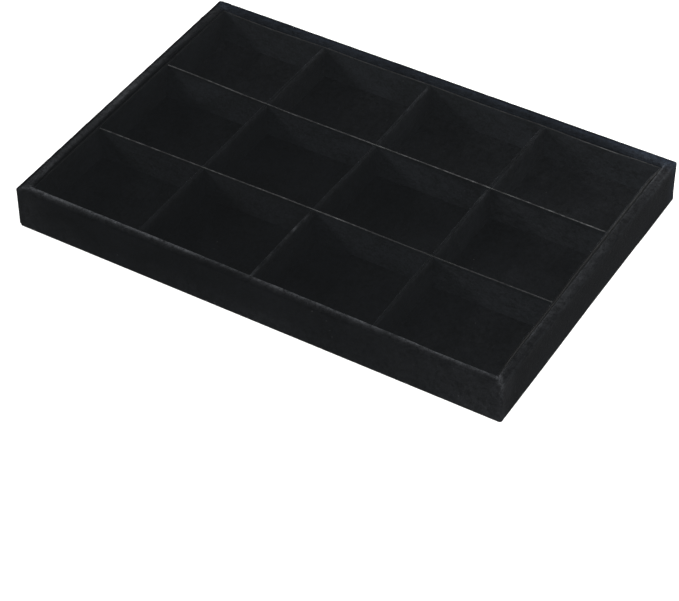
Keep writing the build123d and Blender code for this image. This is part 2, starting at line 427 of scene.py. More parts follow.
def board_material():
    """Fibreboard painted near black, so that where it shows in the gap below the turned-in velvet it reads dark, as
    painted shade. Compacted fibres, a little browner where they lie bare.
    """
    m = Nodes("fibreboard")
    fibres = m.noise(700.0, 5.0, 0.65, 1.5, m.stretch(1.0, 1.0, 0.4))
    clouds = m.noise(45.0, 3.0, 0.55)
    flecks = m.noise(1500.0, 2.0, 0.6)
    tone = m.blend([(fibres, 0.5), (clouds, 0.3), (flecks, 0.2)])
    m.base(m.ramp(tone, [(0.3, (0.0075, 0.0072, 0.0070)), (0.5, (0.0130, 0.0122, 0.0116)), (0.72, (0.0240, 0.0215, 0.0195))]))
    m.roughness(m.span(fibres, 0.3, 0.7, 0.68, 0.9))
    m.normal(m.bump(fibres, 0.0002, 0.6))
    m.bsdf.inputs["Specular IOR Level"].default_value = 0.3
    return m.mat


def steel_material(name, dark, light, rough):
    """Drawn steel wire: fine scratches along the wire and a little dullness."""
    m = Nodes(name)
    drawn = m.noise(2600.0, 3.0, 0.6, 0.3, m.stretch(1.0, 1.0, 0.15))
    dull = m.noise(260.0, 3.0, 0.6)
    m.base(m.ramp(m.blend([(drawn, 0.5), (dull, 0.5)]), [(0.3, dark), (0.7, light)]))
    m.roughness(m.span(dull, 0.3, 0.7, rough - 0.1, rough + 0.14))
    m.normal(m.bump(drawn, 0.00005, 0.5))
    m.bsdf.inputs["Metallic"].default_value = 1.0
    return m.mat


def paper_material():
    """Black embossed backing paper: leather-like grain, scuffed on its high spots."""
    m = Nodes("backing_paper")
    warp = m.noise(420.0, 2.0, 0.5)
    cells = m.voronoi(950.0, "DISTANCE_TO_EDGE")
    grain = m.span(cells, 0.0, 0.22, 0.0, 1.0)
    fibres = m.noise(2800.0, 3.0, 0.6)
    scuff = m.noise(34.0, 4.0, 0.6)
    tone = m.blend([(grain, 0.35), (fibres, 0.25), (scuff, 0.4)])
    m.base(m.ramp(tone, [(0.30, (0.009, 0.009, 0.0095)), (0.62, (0.017, 0.017, 0.018)), (0.85, (0.030, 0.030, 0.031))]))
    m.roughness(m.span(scuff, 0.3, 0.7, 0.52, 0.74))
    m.normal(m.bump(m.blend([(grain, 0.7), (warp, 0.3)]), 0.00018, 0.8))
    m.bsdf.inputs["Specular IOR Level"].default_value = 0.4
    return m.mat


board_mat = board_material()
staple_mat = steel_material("staple_steel_wire", (0.38, 0.38, 0.39), (0.62, 0.62, 0.63), 0.42)
brad_mat = steel_material("brad_steel_wire", (0.30, 0.29, 0.27), (0.52, 0.50, 0.47), 0.46)
paper_mat = paper_material()

for node in ("front_wall_board", "back_wall_board", "left_wall_board", "right_wall_board", "bottom_board"):
    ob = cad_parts[node]
    ob.data.materials.clear()
    ob.data.materials.append(board_mat)
for node, mat in (("base_staples", staple_mat), ("corner_brads", brad_mat)):
    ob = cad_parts[node]
    ob.data.materials.clear()
    ob.data.materials.append(mat)

# ------------------------------------------------------------------ camera
cam = bpy.data.cameras.new("photo_view")
cam.lens = 127.896
cam.sensor_width = 36.0
cam.sensor_fit = "HORIZONTAL"
cam.clip_start, cam.clip_end = 0.05, 40.0
cam_ob = bpy.data.objects.new("photo_view", cam)
bpy.context.scene.collection.objects.link(cam_ob)
cam_ob.matrix_world = Matrix((
    (0.859010, -0.345505, 0.377795, 0.605753),
    (0.511960, 0.579695, -0.633917, -1.028454),
    (0.0000162, 0.737957, 0.674848, 1.013158),
    (0.0, 0.0, 0.0, 1.0),
))
bpy.context.scene.camera = cam_ob


# ------------------------------------------------------------------ velvet wrap
def side_steps(length, near_start=True, near_end=True):
    """Distances along one side, closer together near its corners."""
    lead = [0.0, 0.25, 0.5, 0.75, 1.0, 1.3, 1.7, 2.2, 2.9, 3.7]
    a = lead if near_start else [0.0]
    b = lead if near_end else [0.0]
    mid = length - a[-1] - b[-1]
    n = max(1, int(round(mid / 1.12)))
    run = [a[-1] + mid * (i + 1) / n for i in range(n)]
    return np.array(a + run[:-1] + [length - v for v in reversed(b)])


def stations():
    """Stations round the case, from the seam counter-clockwise back to the seam."""
    rows = []      # t, x of start, x of end (sign, or 9 for the seam), y sign start, end, nx, ny

    def side(length, x0, x1, y0, y1, nx, ny, first, last, ns=True, ne=True):
        d = side_steps(length, ns, ne) / length
        d = d[(0 if first else 1):(None if last else -1)]
        rows.extend((t, x0, x1, y0, y1, nx, ny) for t in d)

    def corner(sx, sy, a0, a1):
        for k in range(7):
            a = math.radians(a0 + (a1 - a0) * k / 6)
            rows.append((0.0, sx, sx, sy, sy, math.cos(a), math.sin(a)))

    side(9.0, 9, -1, 1, 1, 0, 1, True, False, True, True)
    corner(-1, 1, 90, 180)
    side(240.0, -1, -1, 1, -1, -1, 0, False, False)
    corner(-1, -1, 180, 270)
    side(350.0, -1, 1, -1, -1, 0, -1, False, False)
    corner(1, -1, 270, 360)
    side(240.0, 1, 1, -1, 1, 1, 0, False, False)
    corner(1, 1, 0, 90)
    side(341.0, 1, 9, 1, 1, 0, 1, False, True, True, True)
    return np.array(rows, float)


ST = stations()


def ring(S, D):
    """Points (x, y) and outward normals round the case at inset D for station numbers S."""
    row = ST[np.asarray(S).astype(int)]
    t, x0, x1, y0, y1, nx, ny = (row[..., k] for k in range(7))
    r = np.maximum(1.6 - D, 0.22)
    X, Y = XO - D - r, YO - D - r
    seam_x = -np.minimum(-SEAM_X, XO - D - 1.2)
    last = np.asarray(S) > len(ST) / 2
    seam_x = seam_x + np.where(last, 0.075, -0.075)
    xa = np.where(x0 == 9, seam_x, x0 * X)
    xb = np.where(x1 == 9, seam_x, x1 * X)
    x = (1 - t) * xa + t * xb + r * nx
    y = ((1 - t) * y0 + t * y1) * Y + r * ny
    return x, y, nx, ny


def arc(cd, cz, rd, rz, a0, a1, n):
    """Profile points on an ellipse; 180 degrees is outward, 90 up, 0 inward."""
    return [
        (cd + rd * math.cos(math.radians(a0 + (a1 - a0) * k / n)), cz + rz * math.sin(math.radians(a0 + (a1 - a0) * k / n)))
        for k in range(n + 1)
    ]


# profile: (inset d, height z) of the pile side, from the hem under the base to the turn-in
prof = [(12.0, 0.44), (11.9, 0.32), (9.0, 0.30), (6.0, 0.30), (4.0, 0.25), (2.4, 0.13), (1.2, 0.05), (0.5, 0.05), (0.20, 0.10), (0.05, 0.26), (0.0, 0.6), (0.0, 1.4)]
prof += [(0.0, z) for z in (2.6, 4.4, 6.6, 9.0, 11.6, 14.4, 17.2, 20.0, 22.6, 25.0, 26.9)]
prof += arc(0.80, 29.08, 0.80, 0.82, 180, 96, 8)
prof += [(1.2, 29.93), (1.9, 29.96), (2.6, 29.98), (3.3, 30.0), (4.0, 30.0), (4.7, 30.0)]
prof += arc(5.25, 28.86, 1.15, 1.14, 86, -34, 13)
prof += [(5.98, 27.75), (5.86, 27.35), (5.79, 26.95), (5.79, 25.2), (5.79, 22.4), (5.79, 18.12), (5.62, 18.0)]
prof = np.array(prof)
step = np.linalg.norm(np.diff(prof, axis=0), axis=1)
prof_s = np.concatenate([[0.0], np.cumsum(step)])
tang = np.gradient(prof, prof_s, axis=0)
tang /= np.linalg.norm(tang, axis=1)[:, None]
# the pile side faces away from the board: outward on the wall, up on the rim, inward on the turn-in
prof_n = np.stack([tang[:, 1], -tang[:, 0]], 1)          # (component along -d is -[0])
prof_n *= -1.0


def back_of(d, z):
    """Where the cloth's back lies against board and base for a profile point."""
    if z < 0.7 and d > 0.9:
        return (d, 0.59)
    if z < 28.2 and d < 3.0:
        return (0.79, max(z, 0.6))
    if d < 3.0 and z >= 28.2:
        return (max(0.79, d), 29.21) if d > 0.79 else (0.79, min(z, 29.21))
    if z > 29.0:
        return (min(d, 5.01), 29.21)
    return (5.01, min(z, 29.21))


prof_b = np.array([back_of(d, z) for d, z in prof])
K = len(prof)
Z_P, D_P = prof[:, 1], prof[:, 0]
w_rim = smooth01((Z_P - 27.2) / 1.5) * (D_P < 6.6)
w_inner = smooth01((D_P - 3.0) / 2.6) * smooth01((Z_P - 27.05) / 0.8)
w_hidden = ((D_P > 5.0) & (Z_P < 26.8)) | (Z_P < 0.5)
w_wall = ((D_P < 1.3) & (Z_P > 0.7)).astype(float)


def wrap_front(S, V):
    k = np.asarray(V).astype(int)
    D, Z = D_P[k], Z_P[k]
    # the rolled inner edge is not quite straight along each side
    x, y, nx, ny = ring(S, D)
    base = np.stack([x, y, Z], -1)
    lazy = noise(base, 70.0, 11) * 0.20 + noise(base, 24.0, 12) * 0.16
    on_front, on_right = smooth01((-y - 80.0) / 30.0), smooth01((x - 135.0) / 30.0)
    lazy = lazy + on_front * bow(((-175, 1.2), (-100, 1.2), (-66, 1.0), (-25, 0.8), (19, 1.0), (61, 0.86), (104, 0.6), (146, -0.2), (175, -0.2)), x)
    lazy = lazy + on_right * 0.40
    # the foot of the front and right walls, where the cloth turns under
    foot = 0.26 * np.maximum(-ny, 0.0) ** 2 + bow(((-60, 0.25), (0, -0.05), (30, 0.0), (60, 0.10), (78, 0.36), (115, 0.36)), y) * np.maximum(nx, 0.0) ** 2
    D2 = D + w_inner[k] * lazy - foot * smooth01((9.0 - Z) / 8.0) * smooth01((5.0 - D) / 3.5)
    x, y, nx, ny = ring(S, D2)
    nd, nz = prof_n[k, 0], prof_n[k, 1]
    N = np.stack([-nd * nx, -nd * ny, nz], -1)
    P = np.stack([x, y, Z], -1)
    swell = noise(P, 55.0, 1) * 0.10 + noise(P, 17.0, 2) * 0.05
    clump = noise(P, 5.2, 3) * 0.55 + noise(P, 2.7, 4) * 0.45
    h = w_wall[k] * (swell + 0.035 * clump) * smooth01((Z - 0.3) / 2.5) + w_rim[k] * (0.10 * noise(P, 13.0, 5) + 0.11 * clump)
    # the cloth stands a little off the left and back boards towards the top
    left_off = bow(((-114, 0.90), (-102, 1.02), (-78, 0.98), (-66, 1.06), (-48, 1.02), (-30, 1.10), (-18, 1.04), (-6, 0.93), (6, 0.90), (30, 0.90), (42, 1.05), (54, 0.93), (66, 0.95), (78, 1.06), (90, 1.0), (114, 0.98)), y)
    back_off = bow(((-170, 0.34), (-150, 0.34), (-135, 0.48), (-110, 0.54), (-85, 0.54), (-72, 0.34), (-58, 0.52), (8, 0.52), (40, 0.46), (56, 0.40), (72, 0.34), (90, 0.34), (104, 0.46), (170, 0.54)), x)
    stand_off = left_off * smooth01((-nx - 0.5) / 0.5) * smooth01((Z + 5.0) / 8.0) + back_off * smooth01((ny - 0.5) / 0.5) * smooth01((Z + 1.0) / 9.0)
    h = h + w_wall[k] * stand_off * smooth01((30.1 - Z) / 1.0)
    # mitre folds at the corners of the rim, turn-in and hem
    m = (np.abs(x) - np.abs(y) - (XO - YO)) / math.sqrt(2.0)
    sgn = m * np.sign(x) * np.sign(y)
    inner = smooth01((D - 0.6) / 1.6)
    fold = -0.42 * np.exp(-(m / 0.30) ** 2) + 0.30 * np.exp(-((sgn - 0.85) / 0.55) ** 2) + 0.08 * np.exp(-((sgn + 0.9) / 0.6) ** 2)
    at_corner = (np.abs(np.abs(x) - XO) < 14) & (np.abs(np.abs(y) - YO) < 14)
    h = h + np.where(at_corner, fold * inner * np.where(w_rim[k] > 0, w_rim[k], 0.18 * (Z < 0.7)), 0.0)
    # the two ends dip where they meet at the seam
    ends = np.minimum(np.abs(x - SEAM_X), 3.0)
    near_seam = (y > 90) & (np.abs(x - SEAM_X) < 3.0)
    h = h - np.where(near_seam, 0.30 * np.exp(-(ends / 0.45) ** 2) * (Z > 0.5), 0.0)
    h = np.where(w_hidden[k], np.minimum(h, 0.0) * 0.2, h)
    out = P + N * h[..., None]
    return out


def wrap_back(S, V):
    k = np.asarray(V).astype(int)
    x, y, nx, ny = ring(S, prof_b[k, 0])
    return np.stack([x, y, prof_b[k, 1]], -1)


def wrap_painted_light(S, V):
    """Painted highlight and sheen where the pile is parted: the rim, most along its rolled inner edge, and the outer
    corners; painted shade at the outer edges of the back and left rims, and painted light on the front and right walls.
    """
    k = np.asarray(V).astype(int)
    D, Z = D_P[k], Z_P[k]
    x, y, nx, ny = ring(S, D)
    P = np.stack([x, y, Z], -1)
    patch = 0.5 + 0.5 * (0.6 * noise(P, 34.0, 61) + 0.4 * noise(P, 11.0, 62))
    fine = 0.5 + 0.5 * noise(P, 4.5, 63)
    uneven = 0.24 + 0.90 * patch + 0.62 * fine
    mottled = 0.40 + 0.80 * patch + 0.40 * fine
    ahead = smooth01((-y - 30.0) / 40.0)                 # front part of the right side
    behind = smooth01((y - 78.0) / 26.0)                 # back part of it
    # painted highlight and sheen across each rim by inset; below zero at the outer edges it is painted shade
    at = {
        "front": ((0, 0.0), (0.6, 0.020), (1, 0.045), (2.2, 0.080), (3.0, 0.120), (3.4, 0.165), (3.8, 0.225), (4.2, 0.335), (4.6, 0.555), (5.0, 0.68), (5.5, 0.98), (6.4, 1.03)),
        "right": ((0, 0.11), (1, 0.135), (2, 0.15), (3, 0.175), (3.5, 0.19), (4.5, 0.204), (5, 0.235), (5.5, 0.32), (6.0, 0.46), (6.4, 0.45)),
        "back": ((0, -0.15), (0.8, 0.0), (1.5, 0.10), (2.2, 0.17), (3.2, 0.205), (4.0, 0.165), (4.6, 0.155), (5.2, 0.14), (5.8, 0.12), (6.4, 0.13)),
        "left": ((0, -0.20), (0.6, -0.02), (1, 0.15), (1.6, 0.26), (2.6, 0.31), (3.4, 0.31), (4.2, 0.29), (5.1, 0.19), (6.1, 0.075), (6.5, 0.06)),
    }
    along = {side: bow(table, D) for side, table in at.items()}
    along["front"] = along["front"] * uneven * bow(((-175, 1.5), (-146, 1.45), (-120, 1.15), (-60, 1.15), (-35, 0.72), (-14, 0.72), (0, 1.0), (60, 1.05), (125, 1.05), (150, 0.98), (175, 0.90)), x)
    along["front"] = along["front"] * (1.0 - 0.38 * np.exp(-((x + 169.0) / 6.0) ** 2) - 0.38 * np.exp(-((x - 170.0) / 5.0) ** 2))
    along["front"] = along["front"] * np.where(D < 4.3, bow(((-175, 1.0), (-118, 0.95), (-90, 0.76), (-48, 0.72), (-38, 0.95), (0, 0.93), (30, 1.05), (84, 1.12), (100, 1.24), (175, 1.32)), x), 1.0 - 0.16 * smooth01((x - 120.0) / 10.0) + 0.07 * smooth01((x + 92.0) / 8.0) * smooth01((-44.0 - x) / 8.0))
    along["front"] = along["front"] * (1.0 - 0.45 * smooth01((D - 4.9) / 0.4) * (np.exp(-((x + 166.0) / 4.0) ** 2) + 1.1 * np.exp(-((x - 168.0) / 3.5) ** 2)))
    along["front"] = along["front"] + 0.10 * smooth01((-x - 115.0) / 20.0) * smooth01((D - 2.0) / 1.5)
    ridge = bow(((-112, 0.9), (-98, 0.48), (-88, 0.54), (-80, 0.66), (-70, 1.2), (-56, 0.98), (-42, 0.85), (-28, 0.95), (-14, 1.30), (0, 1.08), (28, 1.06), (42, 1.0), (56, 1.25), (84, 1.05), (98, 1.50), (113, 1.2)), y)
    along["right"] = along["right"] * np.where(D > 4.9, ridge, 1.0) * mottled * (1.0 - 0.20 * ahead * (D < 4.4)) + behind * bow(((0, 0.15), (2.6, 0.16), (3.6, 0.08), (4.8, 0.05), (5.6, 0.22), (6.2, 0.42), (6.8, 0.30)), D)
    along["right"] = along["right"] + 0.12 * np.exp(-((y + 70.0) / 7.0) ** 2) * smooth01((D - 5.0) / 0.5)
    along["right"] = along["right"] + (0.035 * np.exp(-(y / 32.0) ** 2) - 0.02 * ahead) * smooth01((D - 0.8) / 1.0) * (D < 5.0)
    along["right"] = along["right"] + 0.055 * smooth01((D - 2.2) / 1.0) * smooth01((5.2 - D) / 0.8) * smooth01((y + 66.0) / 12.0) * smooth01((38.0 - y) / 8.0)
    along["back"] = along["back"] * mottled + bow(((4.6, 0.24), (5.8, 0.20), (6.4, 0.14)), D) * np.exp(-((x - 155.0) / 20.0) ** 2) + 0.05 * smooth01((-x - 155.0) / 12.0)
    along["back"] = along["back"] + 0.04 * smooth01((x + 20.0) / 60.0) * smooth01((D - 1.8) / 0.8) * smooth01((5.2 - D) / 0.8) + 0.05 * np.exp(-((x + 4.0) / 10.0) ** 2)
    along["back"] = along["back"] + 0.05 * (D > 5.7) * smooth01((28.8 - Z) / 0.8)
    along["left"] = along["left"] * mottled + 0.33 * np.exp(-(y / 22.0) ** 2) * smooth01((4.7 - D) / 1.1) + 0.12 * np.exp(-((y + 91.0) / 9.0) ** 2) * smooth01((D - 3.2) / 1.0) * (D < 5.7)
    along["left"] = along["left"] - 0.10 * np.exp(-((y - 55.0) / 22.0) ** 2) * smooth01((D - 3.0) / 1.0) * (D < 5.7) + 0.06 * np.exp(-((y + 36.0) / 16.0) ** 2) * smooth01((D - 2.5) / 1.0) * (D < 5.7)
    along["left"] = along["left"] + 0.07 * smooth01((y - 76.0) / 12.0) * smooth01((D - 5.4) / 0.4)
    share = {"front": np.maximum(-ny, 0) ** 2, "back": np.maximum(ny, 0) ** 2, "left": np.maximum(-nx, 0) ** 2, "right": np.maximum(nx, 0) ** 2}
    total = sum(share[side] * along[side] for side in along) * np.where(D < 1.0, smooth01((Z - 28.6) / 1.2), smooth01((Z - 26.0) / 1.2))
    # painted highlight along the mitres, most at the front right corner
    m = (np.abs(x) - np.abs(y) - (XO - YO)) / math.sqrt(2.0)
    near = np.where(y < 0, np.where(x > 0, 0.68, 0.34 * (1.0 - 0.5 * smooth01(D - 5.0))), np.where(x > 0, 0.35, 0.30))
    at_corner = (np.abs(np.abs(x) - XO) < 10) & (np.abs(np.abs(y) - YO) < 10)
    total = total + np.where(at_corner & (Z > 28.0), 0.7 * near * np.exp(-(m / 1.7) ** 2) * smooth01((D + 0.4) / 1.0) * (0.5 + fine), 0.0)
    # painted highlight down the vertical outer corners, and painted light towards the feet of the walls and on the
    # front wall towards the right
    paint_weight = np.exp(-(np.maximum(XO - np.abs(x), YO - np.abs(y)) / 1.7) ** 2)
    wall = (D < 1.9) & (Z > 0.2)
    corner_highlight = 0.10 + 0.08 * smooth01((Z - 13.0) / 9.0) + 0.08 * smooth01((Z - 24.0) / 4.0)        # painted highlight on the front right corner, most just under the rim
    total = total + np.where((D < 1.0) & (Z > 1.0), paint_weight * np.where(y < 0, np.where(x > 0, corner_highlight, 0.02), np.where(x > 0, 0.13, 0.06)) * (0.6 + 0.8 * fine), 0.0)
    low = smooth01((17.0 - Z) / 15.0)
    ahead_wall = bow(((-175, 0.012), (-172, 0.030), (-169, 0.045), (-165, 0.042), (-160, 0.032), (-154, 0.018), (-145, 0.0), (-60, 0.0), (20, 0.012), (60, 0.018), (84, 0.034), (116, 0.05), (140, 0.055), (160, 0.080), (175, 0.105)), x)
    ahead_wall = ahead_wall + low * (0.018 + 0.038 * np.exp(-((x + 2.0) / 42.0) ** 2) - 0.014 * np.exp(-((x + 162.0) / 7.0) ** 2))
    ahead_wall = ahead_wall + 0.019 * np.exp(-((x + 139.0) / 9.0) ** 2) * smooth01((22.0 - Z) / 6.0) + 0.012 * np.exp(-((x + 69.0) / 10.0) ** 2) * smooth01((16.0 - Z) / 5.0)
    right_wall = 0.014 + 0.020 * np.exp(-((y - 50.0) / 32.0) ** 2) + 0.058 * low * (1.0 - 0.4 * smooth01((y + 60.0) / 30.0)) + 0.030 * smooth01((y - 60.0) / 40.0) + (0.03 + 0.06 * smooth01((y - 80.0) / 10.0)) * smooth01((Z - 25.0) / 4.0) + 0.10 * np.exp(-((y + 120.0) / 8.0) ** 2)
    right_wall = right_wall + 0.075 * np.exp(-((y + 110.5) / 5.0) ** 2) * smooth01((Z - 10.0) / 7.0) + 0.012 * np.exp(-((y + 80.0) / 13.0) ** 2) * smooth01((Z - 8.0) / 6.0) + 0.110 * np.exp(-((y - 113.5) / 3.2) ** 2)
    total = total + np.where(wall, (share["front"] * ahead_wall + share["right"] * right_wall) * (0.55 + 0.9 * patch), 0.0)
    total = total / 1.5
    return np.clip(total * (D < 6.8), -1.0, 1.0)


wrap = plate("wrap_velvet_strip", np.arange(len(ST)), np.arange(K), wrap_front, wrap_back, sharp=75, paint=wrap_painted_light)
placed(wrap, "case", "wrap_velvet", wrap_mat, "velvet_wrap")


# ------------------------------------------------------------------ floor velvet
def floor_front(X, Y):
    P = np.stack([X, Y, np.zeros_like(X)], -1)
    h = 0.022 * noise(P, 42.0, 21) + 0.018 * noise(P, 7.5, 22) + 0.016 * noise(P, 3.6, 23)
    return np.stack([X, Y, Z_FLOOR - 0.01 + h], -1)


def floor_back(X, Y):
    return np.stack([X, Y, np.full_like(X, Z_BASE_TOP + 0.01)], -1)


def floor_painted_light(X, Y):
    P = np.stack([X, Y, np.zeros_like(X)], -1)
    # painted light: each cell lighter from about the middle of its width, where its left divider's shadow ends, and the
    # back row lighter away from its shadow
    edges = np.array([-XL, *SHORT_X, XL])
    cell = np.clip(np.searchsorted(edges, X, side="right") - 1, 0, len(edges) - 2)
    u = (X - edges[cell]) / (edges[cell + 1] - edges[cell])
    floor_light_paint = np.interp(Y, (-113.0, -40.0, -36.0, 38.0, 40.0, 74.0, 88.0, 101.0, 113.0), (0.006, 0.004, -0.002, 0.0, 0.0, 0.0, 0.014, 0.038, 0.042))
    floor_light_paint = floor_light_paint + 0.023 * smooth01((u - 0.37) / 0.07) * (1.0 - smooth01((u - 0.88) / 0.06)) + 0.016 * np.exp(-((u - 0.83) / 0.06) ** 2) - np.take((0.005, 0.020, 0.009, 0.0), cell)
    # painted light in the left column against its wall, and in the right one at its divider's foot and past the middle
    floor_light_paint = floor_light_paint + (0.016 + 0.012 * smooth01((-36.0 - Y) / 3.0)) * (1.0 - smooth01((X + 157.0) / 18.0)) + 0.030 * np.exp(-((X - 83.6) / 2.5) ** 2)
    floor_light_paint = floor_light_paint - 0.014 * (cell == 1) * (np.abs(Y - 0.7) < 38.0) * (1.0 - smooth01((u - 0.37) / 0.07))
    return (floor_light_paint + 0.045 * smooth01((Y - 37.0) / 3.0) + 0.034 * smooth01((X - 80.0) / 30.0)) * (0.75 + 0.5 * noise(P, 9.0, 26))


floor = plate(
    "floor_velvet_sheet", np.linspace(-XI + 0.02, XI - 0.02, 206), np.linspace(-YI + 0.02, YI - 0.02, 140), floor_front, floor_back, paint=floor_painted_light
)
placed(floor, "case", "floor_velvet", floor_mat, "floor_velvet")


# ------------------------------------------------------------------ standing strips
def strip_z(z0, z1, fine=0.35):
    return np.concatenate([[z0, z0 + 0.3], np.linspace(z0 + 1.4, z1 - 2.2, 14), [z1 - 1.4, z1 - 0.8, z1 - 0.45, z1 - 0.2, z1 - 0.06, z1]])


def still(U, Z):
    return np.zeros_like(U)


def standing(
    name, axis, a0, a1, c, side, thick, z0, z1, seed, nap=0.05, round_top=0.5, step=1.25, cuts=(), z_cut=None,
    wave=0.10, rag=0.10, lean=still, trim=still, rise=None, opens="below", paint=None,
):
    """A thin strip on edge along X or Y.

    c is where its back lies, side the direction of its face (+1 or -1), cuts are
    (low, high) spans of slots that are open below (or above) z_cut. lean moves it across
    its length, trim along it, rise lifts its top edge.
    """
    marks = [v for cut in cuts for v in cut]
    us = spaced(a0, a1, step, fine=marks, fine_step=0.6, reach=1.2)
    vs = strip_z(z0, z1)
    if z_cut is not None:
        vs = np.unique(np.concatenate([vs[np.abs(vs - z_cut) > 0.7], [z_cut]]))

    def place(U, W, Z):
        U, W = U + trim(U, Z), W + lean(U, Z)
        if axis == "x":
            return np.stack([U, W, Z], -1)
        return np.stack([W, U, Z], -1)

    def top_line(U):
        flat = np.stack([U, np.zeros_like(U), np.zeros_like(U)], -1)
        up = 0.0 if rise is None else bow(rise, U)
        return up + rag * (0.6 * noise(flat, 30.0, seed + 5) + 0.4 * noise(flat, 3.0, seed + 6))

    def face(U, Z):
        P = np.stack([U, Z, np.full_like(U, float(seed))], -1)
        h = wave * noise(P, 40.0, seed) + nap * (0.55 * noise(P, 6.0, seed + 1) + 0.45 * noise(P, 2.8, seed + 2))
        fall = np.clip((z1 - Z) / round_top, 0.0, 1.0) if round_top else 1.0
        t = thick * (np.sqrt(1.0 - (1.0 - fall) ** 2) * 0.8 + 0.2) if round_top else np.full_like(U, thick)
        t = np.minimum(t + h, thick + 0.12)
        lift = top_line(U) * smooth01((Z - (z1 - 3.0)) / 3.0)
        return place(U, c + side * t, Z + lift)

    def rear(U, Z):
        lift = top_line(U) * smooth01((Z - (z1 - 3.0)) / 3.0)
        return place(U, np.full_like(U, c), Z + lift)

    keep = None
    if cuts:
        def keep(U, Z):
            ok = np.ones(U.shape, bool)
            for lo, hi in cuts:
                ok &= ~((U > lo) & (U < hi) & ((Z < z_cut) if opens == "below" else (Z > z_cut)))
            return ok
    return plate(name, us, vs, face, rear, keep, paint=paint)


def liner_lean(side):
    """How far a wall liner stands off its wall at (along, z), towards the inside."""
    if side == "back":
        return lambda U, Z: -bow(BACK_BOW, U) * felt(Z, 6.0)
    if side == "right":
        return lambda U, Z: -bow(RIGHT_BOW, U) * felt(Z, 6.0)
    return still


# wall liners: card strip against the wall, velvet on its face
for side, axis, half, wall, sgn in (
    ("front", "x", XC, -YC, 1), ("back", "x", XC, YC, -1), ("left", "y", YL, -XC, 1), ("right", "y", YL, XC, -1),
):
    seed = 100 + 20 * ("front", "back", "left", "right").index(side)
    lean = liner_lean(side)
    rise = ((-113, 0.4), (-95, 1.1), (-20, 1.4), (90, 1.4), (105, 1.0), (113, 0.4)) if side == "right" else None

    def shown(U, Z, side=side):
        """Painted light and shade on the liner velvet: the right one darkened along its top from the front to about the
        middle and lighter towards the back, the back one darker but lighter in its right cells, the left one lighter in
        its front and back cells and a little lighter high up.
        """
        top = smooth01((Z - 25.9) / 0.9)
        if side == "right":
            along = np.stack([U, np.zeros_like(U), np.zeros_like(U)], -1)
            paint_amount = np.interp(U, (-112, -98, -84, -70, -60, 14, 28, 42, 56, 70, 84, 98, 110), (-0.2, -1.0, -1.0, -0.8, -1.0, -1.0, -0.26, 0.066, 0.076, 0.0, 0.10, 0.14, 0.18))
            return top * (paint_amount + 0.05 * noise(along, 8.0, 261))
        if side == "back":
            return -0.10 + 0.125 * smooth01((U - 76.0) / 10.0) - 0.05 * smooth01((U + 88.0) / 6.0) * smooth01((-2.0 - U) / 6.0)
        if side == "left":
            across = bow(((-113, 0.025), (-42, 0.025), (-34, -0.05), (34, -0.05), (42, 0.01), (113, 0.01)), U)
            return across + 0.020 * smooth01((Z - 17.0) / 8.0) * smooth01((26.6 - Z) / 1.5)
        return np.zeros_like(U)

    def edge_wear_and_light(U, Z, side=side):
        # painted highlight on the back card's cut edge, strongest near x=127, with dust and wear along it; the right
        # card's edge darkened as painted shade
        if side == "back":
            along = np.stack([U, np.zeros_like(U), np.zeros_like(U)], -1)
            paint_amount = bow(((-165, 0.03), (-50, 0.03), (-40, 0.08), (-8, 0.08), (4, 0.03), (76, 0.02), (88, 0.10), (115, 0.11), (130, 0.14), (165, 0.14)), U)
            return np.clip(0.70 * np.exp(-((U - 127.0) / 11.0) ** 4) + paint_amount + 0.26 * noise(along, 11.0, 262) + 0.36 * noise(along, 3.5, 263), 0.0, 1.0)
        if side == "right":
            return bow(((-112, 0.0), (-98, -0.8), (-70, -0.5), (-50, -0.9), (14, -0.9), (28, -0.5), (42, -0.1), (112, 0.0)), U)
        return np.zeros_like(U)

    v = standing(
        f"{side}_liner_velvet_strip", axis, -half, half, wall, sgn, 0.9 if side == "right" else 0.5, Z_FLOOR, Z_TOP, seed, nap=0.06, wave=0.06, rag=0.10,
        lean=lean, rise=rise, paint=shown,
    )
    placed(v, "case", "liner_velvet", left_liner_mat if side == "left" else liner_mat, f"{side}_liner_velvet")
    chalf = XV if axis == "x" else YC
    c = standing(
        f"{side}_liner_card_strip", axis, -chalf, chalf, wall - sgn * 0.9, sgn, 0.89, Z_FLOOR, Z_TOP, seed + 10,
        nap=0.01, round_top=0.12, wave=0.0, rag=0.12, step=1.6, lean=lean, rise=rise, paint=edge_wear_and_light,
    )
    placed(c, "case", "card", {"back": liner_card_mat, "right": right_card_lit_mat, "left": left_card_mat}.get(side, dark_card_mat), f"{side}_liner_card")

